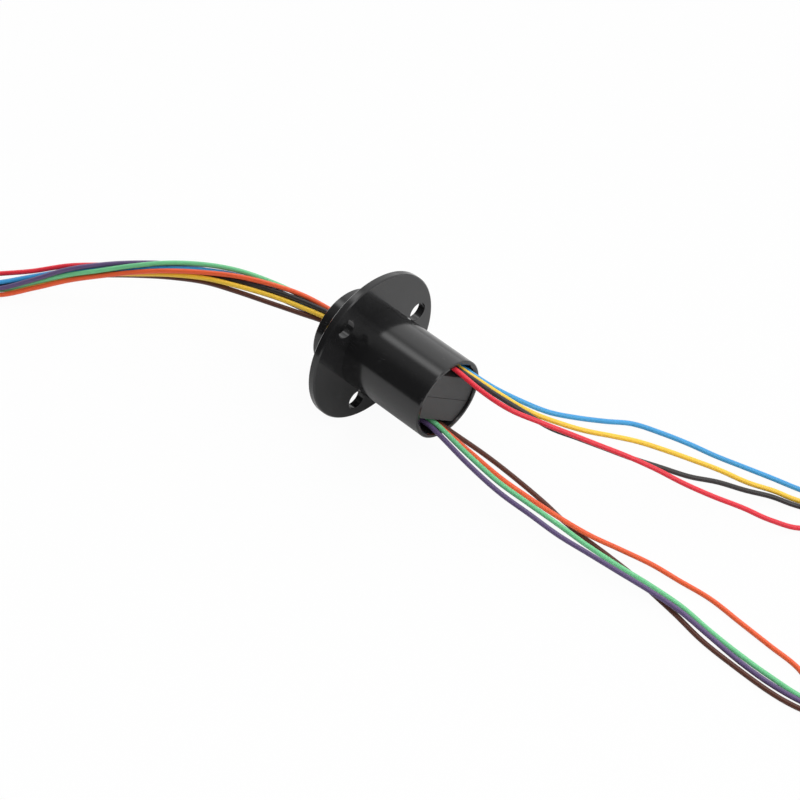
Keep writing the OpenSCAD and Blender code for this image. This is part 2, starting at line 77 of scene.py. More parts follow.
SURFACE_Z = -0.02075
LEAD_D = 0.0013
LAID = SURFACE_Z + LEAD_D / 2
FRONT_X = 0.026
NOSE_X = -0.0137
RING_COUNT = 8
WHITE = (1.0, 1.0, 1.0, 1.0)


# ------------------------------------------------------------------ node maths


class Value:
    """A number that a socket gives, for use in Python expressions."""

    def __init__(self, graph: "Graph", socket: Socket) -> None:
        """Wrap a socket.

        Args:
            graph: The graph that the socket's node is in.
            socket: The output socket.
        """
        self.graph = graph
        self.socket = socket

    def _math(self, operation: str, first: Any, second: Any) -> "Value":
        """Add a Math node.

        Args:
            operation: The Math node's operation.
            first: Its first value.
            second: Its second value.

        Returns:
            The node's result.
        """
        node = self.graph.node(
            "ShaderNodeMath", {"operation": operation}, {0: first, 1: second}
        )
        return Value(self.graph, node.outputs[0])

    def __add__(self, other: Any) -> "Value":
        """Return self + other."""
        return self._math("ADD", self, other)

    __radd__ = __add__

    def __sub__(self, other: Any) -> "Value":
        """Return self - other."""
        return self._math("SUBTRACT", self, other)

    def __rsub__(self, other: Any) -> "Value":
        """Return other - self."""
        return self._math("SUBTRACT", other, self)

    def __mul__(self, other: Any) -> "Value":
        """Return self * other."""
        return self._math("MULTIPLY", self, other)

    __rmul__ = __mul__

    def __truediv__(self, other: Any) -> "Value":
        """Return self / other."""
        return self._math("DIVIDE", self, other)

    def maximum(self, other: Any) -> "Value":
        """Return the larger of self and other."""
        return self._math("MAXIMUM", self, other)

    def minimum(self, other: Any) -> "Value":
        """Return the smaller of self and other."""
        return self._math("MINIMUM", self, other)

    def sine(self) -> "Value":
        """Return the sine of self, in radians."""
        return self._math("SINE", self, 0.0)

    def cosine(self) -> "Value":
        """Return the cosine of self, in radians."""
        return self._math("COSINE", self, 0.0)

    def arctan2(self, other: Any) -> "Value":
        """Return the angle whose tangent is self / other, in radians."""
        return self._math("ARCTAN2", self, other)

    def ramp(self, low: float, high: float) -> "Value":
        """Return a smooth step of self.

        Args:
            low: Where the step is 0.
            high: Where the step is 1.

        Returns:
            A value from 0 to 1.
        """
        node = self.graph.node(
            "ShaderNodeMapRange",
            {"interpolation_type": "SMOOTHSTEP"},
            {"Value": self, "From Min": low, "From Max": high},
        )
        return Value(self.graph, node.outputs["Result"])


class Graph:
    """A node tree that is being written."""

    def __init__(self, tree: bpy.types.NodeTree) -> None:
        """Start with an empty tree.

        Args:
            tree: The tree to write into.
        """
        self.tree = tree
        tree.nodes.clear()

    def node(
        self,
        kind: str,
        settings: Mapping[str, Any] | None = None,
        sockets: Mapping[Any, Any] | None = None,
    ) -> bpy.types.Node:
        """Add a node.

        Args:
            kind: The node's type.
            settings: The node's own settings, which are set first.
            sockets: Values or links, by the input's name or number.

        Returns:
            The new node.
        """
        node = self.tree.nodes.new(kind)
        for name, value in (settings or {}).items():
            setattr(node, name, value)
        for key, value in (sockets or {}).items():
            self.feed(node.inputs[key], value)
        return node

    def feed(self, target: Socket, value: Any) -> None:
        """Set or link one input.

        Args:
            target: The input socket.
            value: A Value, an output socket, or a plain value.
        """
        if isinstance(value, Value):
            self.tree.links.new(value.socket, target)
        elif isinstance(value, bpy.types.NodeSocket):
            self.tree.links.new(value, target)
        else:
            target.default_value = value

    def value(self, node: bpy.types.Node, output: Any = 0) -> Value:
        """Return one output of a node as a Value."""
        return Value(self, node.outputs[output])


class Shader(Graph):
    """A material's node tree with one Principled surface."""

    def __init__(self, name: str, metallic: float, specular: float) -> None:
        """Make the material.

        Args:
            name: The material's name.
            metallic: The same all over the surface.
            specular: The specular level, the same all over the surface.
        """
        self.material = bpy.data.materials.new(name)
        self.material.use_nodes = True
        super().__init__(self.material.node_tree)
        self.surface = self.node(
            "ShaderNodeBsdfPrincipled",
            sockets={"Metallic": metallic, "Specular IOR Level": specular},
        )
        self.node(
            "ShaderNodeOutputMaterial",
            sockets={"Surface": self.surface.outputs["BSDF"]},
        )
        place = self.node("ShaderNodeTexCoord")
        self.place = place.outputs["Object"]
        self.wrap = place.outputs["UV"]

    def stretched(
        self, source: Socket, scale: Point, turn: Point = (0.0, 0.0, 0.0)
    ) -> Socket:
        """Scale and turn a set of coordinates.

        Args:
            source: The coordinates.
            scale: How much to scale each axis.
            turn: Angles about X, Y and Z, in radians.

        Returns:
            The new coordinates.
        """
        node = self.node(
            "ShaderNodeMapping",
            {"vector_type": "POINT"},
            {"Vector": source, "Scale": scale, "Rotation": turn},
        )
        return node.outputs["Vector"]

    def noise(self, source: Socket, scale: float, detail: float) -> Value:
        """Return a noise from 0 to 1.

        Args:
            source: The coordinates.
            scale: Cells per metre.
            detail: Octaves of finer noise.

        Returns:
            The noise.
        """
        node = self.node(
            "ShaderNodeTexNoise",
            sockets={"Vector": source, "Scale": scale, "Detail": detail},
        )
        return self.value(node)

    def mix(self, factor: Any, first: Any, second: Any) -> Socket:
        """Mix two colours.

        Args:
            factor: 0 for the first, 1 for the second.
            first: A colour.
            second: A colour.

        Returns:
            The mixed colour.
        """
        node = self.node(
            "ShaderNodeMix",
            {"data_type": "RGBA"},
            {"Factor": factor, 6: first, 7: second},
        )
        return node.outputs[2]

    def dress(self, colour: Any, roughness: Any, height: Value, depth: float) -> None:
        """Feed the surface.

        Args:
            colour: The base colour.
            roughness: The roughness.
            height: A height from 0 to 1 for the bump.
            depth: How deep the bump is, in metres.
        """
        bump = self.node(
            "ShaderNodeBump", sockets={"Distance": depth, "Height": height}
        )
        self.feed(self.surface.inputs["Base Color"], colour)
        self.feed(self.surface.inputs["Roughness"], roughness)
        self.feed(self.surface.inputs["Normal"], bump.outputs["Normal"])


def rgba(colour: Colour, level: float = 1.0) -> tuple[float, float, float, float]:
    """Return a colour with a full alpha, at a level of brightness."""
    return (colour[0] * level, colour[1] * level, colour[2] * level, 1.0)


# -------------------------------------------------------------------- finishes


@dataclass(frozen=True)
class MouldedPlastic:
    """Moulded plastic with a faint skin texture and a few hairline scratches."""

    name: str
    colour: Colour
    roughness: float
    specular: float = 0.5
    skin: float = 2500.0
    skin_depth: float = 0.000004
    patch: float = 160.0
    scratches: float = 0.0
    scratch_turns: tuple[float, ...] = (0.5, 1.9, 2.7)
    scratch_scales: tuple[float, ...] = (90.0, 150.0, 110.0)
    scratch_length: float = 14.0
    scratch_fineness: float = 60000.0
    scratch_colour: Colour = (0.35, 0.35, 0.36)

    def hairlines(self, shader: Shader) -> Value:
        """Return a mask of fine scratches in three directions.

        Args:
            shader: The shader being written.

        Returns:
            1 on a scratch, 0 beside it.
        """
        masks = []
        for turn, scale in zip(self.scratch_turns, self.scratch_scales):
            across = scale * self.scratch_length
            lines = shader.stretched(
                shader.place, (scale, across, across), (turn, 0.3 * turn, turn)
            )
            level = shader.noise(lines, 1.0, 0.0) - 0.5
            thin = 1 - level * level * self.scratch_fineness
            rare = shader.noise(shader.place, scale * 2, 1.0).ramp(0.6, 0.68)
            masks.append(thin.maximum(0.0) * rare)
        return reduce(Value.maximum, masks)

    def material(self) -> bpy.types.Material:
        """Return the finish as a material."""
        shader = Shader(self.name, 0.0, self.specular)
        skin = shader.noise(shader.place, self.skin, 3.0)
        patch = shader.noise(shader.place, self.patch, 2.0)
        colour = shader.mix(patch, rgba(self.colour, 0.92), rgba(self.colour, 1.1))
        roughness = self.roughness + (patch - 0.5) * 0.06
        if self.scratches:
            scratch = self.hairlines(shader) * self.scratches
            colour = shader.mix(scratch, colour, rgba(self.scratch_colour))
            roughness = roughness + scratch * 0.3
        shader.dress(colour, roughness, skin, self.skin_depth)
        return shader.material


@dataclass(frozen=True)
class PvcInsulation:
    """Soft PVC over stranded wire: satin, with drawn lines along the lead."""

    name: str
    colour: Colour
    roughness: float = 0.36
    drawn_lines: Point = (60.0, 5200.0, 1.0)
    cloud: float = 220.0
    grain: float = 5200.0
    skin_depth: float = 0.000012

    def material(self) -> bpy.types.Material:
        """Return the finish as a material."""
        shader = Shader(self.name, 0.0, 0.45)
        drawn = shader.noise(shader.stretched(shader.wrap, self.drawn_lines), 1.0, 2.0)
        cloud = shader.noise(shader.place, self.cloud, 3.0)
        grain = shader.noise(shader.place, self.grain, 2.0)
        colour = shader.mix(cloud, rgba(self.colour, 0.9), rgba(self.colour, 1.08))
        roughness = self.roughness + (drawn - 0.5) * 0.16 + (cloud - 0.5) * 0.08
        shader.dress(colour, roughness, drawn * 0.6 + grain * 0.4, self.skin_depth)
        return shader.material


@dataclass(frozen=True)
class Metal:
    """Bare or plated metal with fine marks, drawn along or round the axis."""

    name: str
    colour: Colour
    roughness: float
    lines: Point = (300.0, 9000.0, 9000.0)
    tarnish: Colour = (0.3, 0.28, 0.26)
    stain: float = 500.0
    mark_depth: float = 0.000003

    def material(self) -> bpy.types.Material:
        """Return the finish as a material."""
        shader = Shader(self.name, 1.0, 0.5)
        marks = shader.noise(shader.stretched(shader.place, self.lines), 1.0, 2.0)
        stain = shader.noise(shader.place, self.stain, 3.0).ramp(0.55, 0.8)
        colour = shader.mix(stain * 0.25, rgba(self.colour), rgba(self.tarnish))
        roughness = self.roughness + (marks - 0.5) * 0.2 + stain * 0.1
        shader.dress(colour, roughness, marks, self.mark_depth)
        return shader.material


@dataclass(frozen=True)
class BoardLaminate:
    """Green solder mask over woven glass."""

    name: str
    colour: Colour
    weave: float = 9000.0
    weave_depth: float = 0.000008

    def material(self) -> bpy.types.Material:
        """Return the finish as a material."""
        shader = Shader(self.name, 0.0, 0.5)
        split = shader.node("ShaderNodeSeparateXYZ", sockets={0: shader.place})
        along = (shader.value(split, 0) * self.weave).sine()
        across = (shader.value(split, 2) * self.weave).sine()
        cloth = (along * across + 1) * 0.5
        colour = shader.mix(cloth * 0.3, rgba(self.colour), rgba(self.colour, 1.5))
        shader.dress(colour, 0.3 + cloth * 0.1, cloth, self.weave_depth)
        return shader.material


class Circuit(Enum):
    """The eight circuits, named by their leads' colours."""

    BLUE = "blue"
    YELLOW = "yellow"
    BLACK = "black"
    RED = "red"
    PURPLE = "purple"
    GREEN = "green"
    ORANGE = "orange"
    BROWN = "brown"

    @property
    def slot(self) -> str:
        """Return the slot name for this circuit's insulation."""
        return "pvc_" + self.value


INSULATION: dict[Circuit, Colour] = {
    Circuit.BLUE: (0.05, 0.34, 0.7),
    Circuit.YELLOW: (0.95, 0.6, 0.05),
    Circuit.BLACK: (0.03, 0.027, 0.027),
    Circuit.RED: (0.8, 0.028, 0.05),
    Circuit.PURPLE: (0.125, 0.085, 0.2),
    Circuit.GREEN: (0.18, 0.62, 0.29),
    Circuit.ORANGE: (0.9, 0.125, 0.04),
    Circuit.BROWN: (0.1, 0.032, 0.02),
}


class Workshop:
    """The finishes by their slot names, each made once."""

    def __init__(self) -> None:
        """List the finishes."""
        finishes = [
            MouldedPlastic(
                "housing_plastic", (0.012, 0.012, 0.0125), 0.15, 0.5, scratches=0.2
            ),
            MouldedPlastic("holder_plastic", (0.045, 0.045, 0.046), 0.55, 0.4, 1800.0),
            MouldedPlastic("shaft_plastic", (0.02, 0.02, 0.021), 0.4),
            MouldedPlastic("epoxy", (0.018, 0.018, 0.02), 0.22),
            MouldedPlastic("spacer_plastic", (0.06, 0.06, 0.063), 0.45),
            MouldedPlastic("tie_nylon", (0.02, 0.02, 0.02), 0.45),
            BoardLaminate("circuit_board", (0.02, 0.11, 0.05)),
            Metal("gold_alloy", (0.85, 0.62, 0.26), 0.28),
            Metal("solder", (0.66, 0.66, 0.68), 0.34, (2500.0, 2500.0, 2500.0)),
            Metal("bearing_steel", (0.6, 0.61, 0.63), 0.22, (9000.0, 300.0, 300.0)),
            Metal("spring_steel", (0.5, 0.5, 0.52), 0.3, (9000.0, 500.0, 500.0)),
            Metal("cage_bronze", (0.6, 0.4, 0.2), 0.36, (2500.0, 900.0, 900.0)),
            Metal("gold_plate", (0.9, 0.68, 0.3), 0.16, (9000.0, 260.0, 260.0)),
        ]
        for circuit, colour in INSULATION.items():
            finishes.append(PvcInsulation(circuit.slot, colour))
        self._finishes = {finish.name: finish for finish in finishes}
        self._made: dict[str, bpy.types.Material] = {}

    def material(self, slot: str) -> bpy.types.Material:
        """Return the material of a slot, made when it is first asked for."""
        if slot not in self._made:
            self._made[slot] = self._finishes[slot].material()
        return self._made[slot]

    def dress_node(self, node: str, slot: str) -> None:
        """Give a CAD node its finish.

        Args:
            node: The CAD node's name.
            slot: The finish's slot name.
        """
        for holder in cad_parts[node].material_slots:
            holder.link = "OBJECT"
            holder.material = self.material(slot)
        log.info("%s: %s", node, slot)


# ---------------------------------------------------------------------- curves


def curve_point(p0: Vector, p1: Vector, p2: Vector, p3: Vector, t: float) -> Vector:
    """Return a point on the smooth curve between p1 and p2.

    Args:
        p0: The point before p1.
        p1: Where the span starts.
        p2: Where the span ends.
        p3: The point after p2.
        t: How far along the span, from 0 to 1.

    Returns:
        The point.
    """
    return 0.5 * (
        2 * p1
        + (p2 - p0) * t
        + (2 * p0 - 5 * p1 + 4 * p2 - p3) * t * t
        + (3 * p1 - p0 - 3 * p2 + p3) * t**3
    )


def smooth_curve(points: Sequence[Vector], steps: int) -> list[Vector]:
    """Return the smooth curve through some points.

    Args:
        points: The points.
        steps: How many steps each span has.

    Returns:
        The curve's points, from the first point to the last.
    """
    ends = [2 * points[0] - points[1], *points, 2 * points[-1] - points[-2]]
    curve = [
        curve_point(*ends[i : i + 4], k / steps)
        for i in range(len(points) - 1)
        for k in range(steps)
    ]
    return curve + [points[-1].copy()]


def length_of(points: Sequence[Vector]) -> float:
    """Return the length of a line of points."""
    return sum((b - a).length for a, b in zip(points, points[1:]))


def cut_to(points: Sequence[Vector], length: float) -> list[Vector]:
    """Cut a line of points to a length.

    Args:
        points: The line.
        length: The length to keep.

    Returns:
        The line's start, with its last point at exactly that length.
    """
    kept = [points[0]]
    left = length
    for a, b in zip(points, points[1:]):
        step = (b - a).length
        if step >= left:
            kept.append(a.lerp(b, left / step))
            return kept
        kept.append(b)
        left -= step
    return kept


def headings(points: Sequence[Vector]) -> list[Vector]:
    """Return the direction of a line at each of its points."""
    last = len(points) - 1
    return [
        (points[min(i + 1, last)] - points[max(i - 1, 0)]).normalized()
        for i in range(last + 1)
    ]


def mesh_object(
    name: str, vertices: Sequence[Vector], faces: Sequence[Sequence[int]]
) -> bpy.types.Object:
    """Make a mesh object at the origin.

    Args:
        name: The object's name.
        vertices: The mesh's points.
        faces: The mesh's faces, as lists of point numbers.

    Returns:
        The object, linked to the scene.
    """
    mesh = bpy.data.meshes.new(name)
    mesh.from_pydata([tuple(v) for v in vertices], [], faces)
    piece = bpy.data.objects.new(name, mesh)
    bpy.context.scene.collection.objects.link(piece)
    return piece


# ----------------------------------------------------------------------- leads


class TurnSide(Enum):
    """The side that a lead turns to as it goes into its coil."""

    LEFT = 1
    RIGHT = -1


@dataclass(frozen=True)
class SpareCoil:
    """A neat coil of spare lead that lies on the surface in a tie."""

    node: str
    tie: str
    centre: tuple[float, float]
    way: float
    side: TurnSide
    rows: int
    inner_r: float = 0.0058
    step: float = 0.00135
    columns: int = 4
    entry_gap: float = 0.0001
    tie_t: float = 0.0005
    lift_share: float = 0.7
    points_per_turn: int = 48

    @property
    def forward(self) -> Vector:
        """Return the direction that the leads come in with."""
        way = math.radians(self.way)
        return Vector((math.cos(way), math.sin(way), 0.0))

    def radius(self, column: int) -> float:
        """Return the radius of a column's turns, counted from the inside."""
        return self.inner_r + column * self.step

    def touch_point(self, column: int, row: int) -> Vector:
        """Return the point where a straight lead becomes a turn."""
        ahead = self.forward
        side = self.side.value * self.radius(column)
        return Vector(
            (
                self.centre[0] + side * ahead.y,
                self.centre[1] - side * ahead.x,
                LAID + self.tie_t + row * self.step,
            )
        )

    def entry(self, column: int, row: int) -> Vector:
        """Return the point just outside the coil where a lead meets it."""
        outer = self.radius(self.columns - 1) + LEAD_D / 2
        nearest = self.radius(column) - LEAD_D / 2
        back = self.entry_gap + math.sqrt(outer**2 - nearest**2)
        return self.touch_point(column, row) - self.forward * back

    def rise(self, turns: float) -> float:
        """Return how many steps a lead has climbed after some turns."""
        part = min((turns - math.floor(turns)) / self.lift_share, 1.0)
        return math.floor(turns) + part * part * (3 - 2 * part)

    def turns(self, column: int, row: int, length: float) -> list[Vector]:
        """Wind a lead up.

        Args:
            column: The lead's column, from the inside.
            row: The lead's first row, from the bottom.
            length: At least this length of lead is wound.

        Returns:
            The points after the touch point.
        """
        radius = self.radius(column)
        start = self.touch_point(column, row)
        first = math.atan2(start.y - self.centre[1], start.x - self.centre[0])
        count = math.ceil(length / (math.tau * radius) * self.points_per_turn) + 1
        points = []
        for i in range(1, count + 1):
            turned = i / self.points_per_turn
            angle = first + self.side.value * math.tau * turned
            points.append(
                Vector(
                    (
                        self.centre[0] + radius * math.cos(angle),
                        self.centre[1] + radius * math.sin(angle),
                        start.z + self.rows * self.step * self.rise(turned),
                    )
                )
            )
        return points


@dataclass(frozen=True)
class Lead:
    """One lead: where it leaves the slip ring, its way, and its coil."""

    circuit: Circuit
    body: str
    inside: Vector
    way: tuple[Vector, ...]
    coil: SpareCoil
    column: int
    row: int

    @property
    def name(self) -> str:
        """Return the lead's name in the CAD model."""
        return f"{self.circuit.value}_{self.body}_lead"


@dataclass
class LeadMaker:
    """Makes the leads' insulation and their stripped ends."""

    workshop: Workshop
    length: float = 0.25
    bare: float = 0.006
    span_steps: int = 8
    sides: int = 16
    strand_d: float = 0.00024
    outer_strands: int = 6
    strand_lay: float = 0.009
    strand_sides: int = 10

    def centreline(self, lead: Lead) -> tuple[list[Vector], list[Vector]]:
        """Work out where a lead runs.

        Args:
            lead: The lead.

        Returns:
            The line from inside the slip ring to the end of the insulation,
            and the line of the bare end.
        """
        touch = lead.coil.touch_point(lead.column, lead.row)
        entry = lead.coil.entry(lead.column, lead.row)
        run = smooth_curve([lead.inside, *lead.way, entry, touch], self.span_steps)
        hidden = run[: self.span_steps + 1]
        outside = run[self.span_steps :]
        left = self.length - length_of(outside)
        wound = outside + lead.coil.turns(lead.column, lead.row, left)
        covered = cut_to(wound, self.length - self.bare)
        whole = cut_to(wound, self.length)
        bare = [covered[-1]] + whole[len(covered) - 1 :]
        return hidden[:-1] + covered, bare

    def tube(
        self, name: str, line: Sequence[Vector], radius: float
    ) -> bpy.types.Object:
        """Make a round tube with closed ends along a line.

        Args:
            name: The object's name.
            line: The tube's centreline.
            radius: The tube's radius.

        Returns:
            The tube, with a UV map in metres along and round it.
        """
        ways = headings(line)
        side = ways[0].orthogonal().normalized()
        vertices: list[Vector] = []
        for point, way in zip(line, ways):
            side = (side - way * side.dot(way)).normalized()
            up = way.cross(side)
            for k in range(self.sides):
                angle = math.tau * k / self.sides
                spoke = side * math.cos(angle) + up * math.sin(angle)
                vertices.append(point + spoke * radius)
        n = self.sides
        last = (len(line) - 1) * n
        faces: list[list[int]] = []
        for start in range(0, last, n):
            for k in range(n):
                a, b = start + k, start + (k + 1) % n
                faces.append([a, b, b + n, a + n])
        walls = len(faces)
        faces.append(list(range(n - 1, -1, -1)))
        faces.append(list(range(last, last + n)))
        piece = mesh_object(name, vertices, faces)
        self.wrap(piece.data, line, walls, radius)
        return piece

    def wrap(
        self, mesh: bpy.types.Mesh, line: Sequence[Vector], walls: int, radius: float
    ) -> None:
        """Give a tube its UV map and smooth its wall.

        Args:
            mesh: The tube's mesh.
            line: The tube's centreline.
            walls: How many of its first faces are the wall.
            radius: The tube's radius.
        """
        along = [0.0]
        for a, b in zip(line, line[1:]):
            along.append(along[-1] + (b - a).length)
        arc = math.tau * radius / self.sides
        uv = mesh.uv_layers.new(name="wrap").data
        for number, face in enumerate(mesh.polygons):
            face.use_smooth = number < walls
            first = face.vertices[0]
            for loop, vertex in zip(face.loop_indices, face.vertices):
                ring, k = divmod(vertex, self.sides)
                if number < walls and k == 0 and first % self.sides:
                    k = self.sides
                uv[loop].uv = (along[ring], k * arc)

    def strand_tree(self) -> bpy.types.GeometryNodeTree:
        """Write the Geometry Nodes that lay twisted strands along a line."""
        tree = bpy.data.node_groups.new("bare_strands", "GeometryNodeTree")
        graph = Graph(tree)
        face = tree.interface
        face.new_socket("Geometry", in_out="INPUT", socket_type="NodeSocketGeometry")
        for name, kind in (
            ("Strand Diameter", "NodeSocketFloat"),
            ("Lay Length", "NodeSocketFloat"),
            ("Strands", "NodeSocketInt"),
            ("Material", "NodeSocketMaterial"),
        ):
            face.new_socket(name, in_out="INPUT", socket_type=kind)
        face.new_socket("Geometry", in_out="OUTPUT", socket_type="NodeSocketGeometry")
        given = graph.node("NodeGroupInput").outputs
        diameter = Value(graph, given["Strand Diameter"])
        curve = graph.node("GeometryNodeMeshToCurve", sockets={0: given["Geometry"]})
        copies = graph.node(
            "GeometryNodeDuplicateElements",
            {"domain": "SPLINE"},
            {"Geometry": curve.outputs[0], "Amount": given["Strands"]},
        )
        number = graph.value(copies, "Duplicate Index")
        along = graph.value(graph.node("GeometryNodeSplineParameter"), "Length")
        lay = Value(graph, given["Lay Length"])
        angle = number * (math.tau / self.outer_strands) + along * math.tau / lay
        reach = number.minimum(1.0) * diameter
        normal = graph.node("GeometryNodeInputNormal").outputs[0]
        tangent = graph.node("GeometryNodeInputTangent").outputs[0]
        across = graph.node(
            "ShaderNodeVectorMath",
            {"operation": "CROSS_PRODUCT"},
            {0: tangent, 1: normal},
        )
        parts = [
            graph.node(
                "ShaderNodeVectorMath", {"operation": "SCALE"}, {0: axis, "Scale": size}
            ).outputs[0]
            for axis, size in (
                (normal, angle.cosine() * reach),
                (across.outputs[0], angle.sine() * reach),
            )
        ]
        offset = graph.node(
            "ShaderNodeVectorMath", {"operation": "ADD"}, {0: parts[0], 1: parts[1]}
        )
        moved = graph.node(
            "GeometryNodeSetPosition",
            sockets={0: copies.outputs[0], "Offset": offset.outputs[0]},
        )
        circle = graph.node(
            "GeometryNodeCurvePrimitiveCircle",
            sockets={"Resolution": self.strand_sides, "Radius": diameter * 0.5},
        )
        wires = graph.node(
            "GeometryNodeCurveToMesh",
            sockets={0: moved.outputs[0], 1: circle.outputs[0], "Fill Caps": True},
        )
        real = graph.node("GeometryNodeRealizeInstances", sockets={0: wires.outputs[0]})
        dressed = graph.node(
            "GeometryNodeSetMaterial",
            sockets={0: real.outputs[0], "Material": given["Material"]},
        )
        graph.node("NodeGroupOutput", sockets={0: dressed.outputs[0]})
        return tree

    def bare_end(
        self, name: str, line: Sequence[Vector], tree: bpy.types.GeometryNodeTree
    ) -> bpy.types.Object:
        """Make the tinned strands at a lead's end.

        Args:
            name: The object's name.
            line: The line that the strands follow.
            tree: The Geometry Nodes that lay them.

        Returns:
            The strands as a plain mesh.
        """
        mesh = bpy.data.meshes.new(name)
        edges = [(i, i + 1) for i in range(len(line) - 1)]
        mesh.from_pydata([tuple(p) for p in line], edges, [])
        guide = bpy.data.objects.new(name, mesh)
        bpy.context.scene.collection.objects.link(guide)
        inputs = {
            "Strand Diameter": self.strand_d,
            "Lay Length": self.strand_lay,
            "Strands": self.outer_strands + 1,
            "Material": self.workshop.material("solder"),
        }
        return grown(guide, tree, inputs)

    def make(self, lead: Lead, tree: bpy.types.GeometryNodeTree) -> None:
        """Make one lead with its bare end, in place of its CAD tube.

        Args:
            lead: The lead.
            tree: The Geometry Nodes for the bare end.
        """
        line, bare = self.centreline(lead)
        piece = self.tube(lead.name + "_pvc", line, LEAD_D / 2)
        piece.data.materials.append(self.workshop.material(lead.circuit.slot))
        tip = self.bare_end(lead.name + "_bare_end", bare, tree)
        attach(piece, lead.body)
        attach(tip, lead.body)
        lead.circuit.slot
        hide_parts(lead.name, lead.coil.node)
        lead.row == 0 and lead.column == 0
        tuple(lead.way[0])
        [tuple(p) for p in line]
        log.info("%s: %.3f m outside", lead.name, self.length)


def grown(
    guide: bpy.types.Object,
    tree: bpy.types.GeometryNodeTree,
    inputs: Mapping[str, Any],
) -> bpy.types.Object:
    """Run a Geometry Nodes tree on an object and keep its result as plain mesh.

    Args:
        guide: The object that the tree starts from.
        tree: The Geometry Nodes.
        inputs: The tree's inputs by name.

    Returns:
        The same object with the grown mesh.
    """
    modifier = guide.modifiers.new("grow", "NODES")
    modifier.node_group = tree
    for socket in tree.interface.items_tree:
        if getattr(socket, "in_out", "") == "INPUT" and socket.name in inputs:
            modifier[socket.identifier] = inputs[socket.name]
    graph = bpy.context.evaluated_depsgraph_get()
    mesh = bpy.data.meshes.new_from_object(guide.evaluated_get(graph))
    guide.modifiers.remove(modifier)
    guide.data = mesh
    return guide


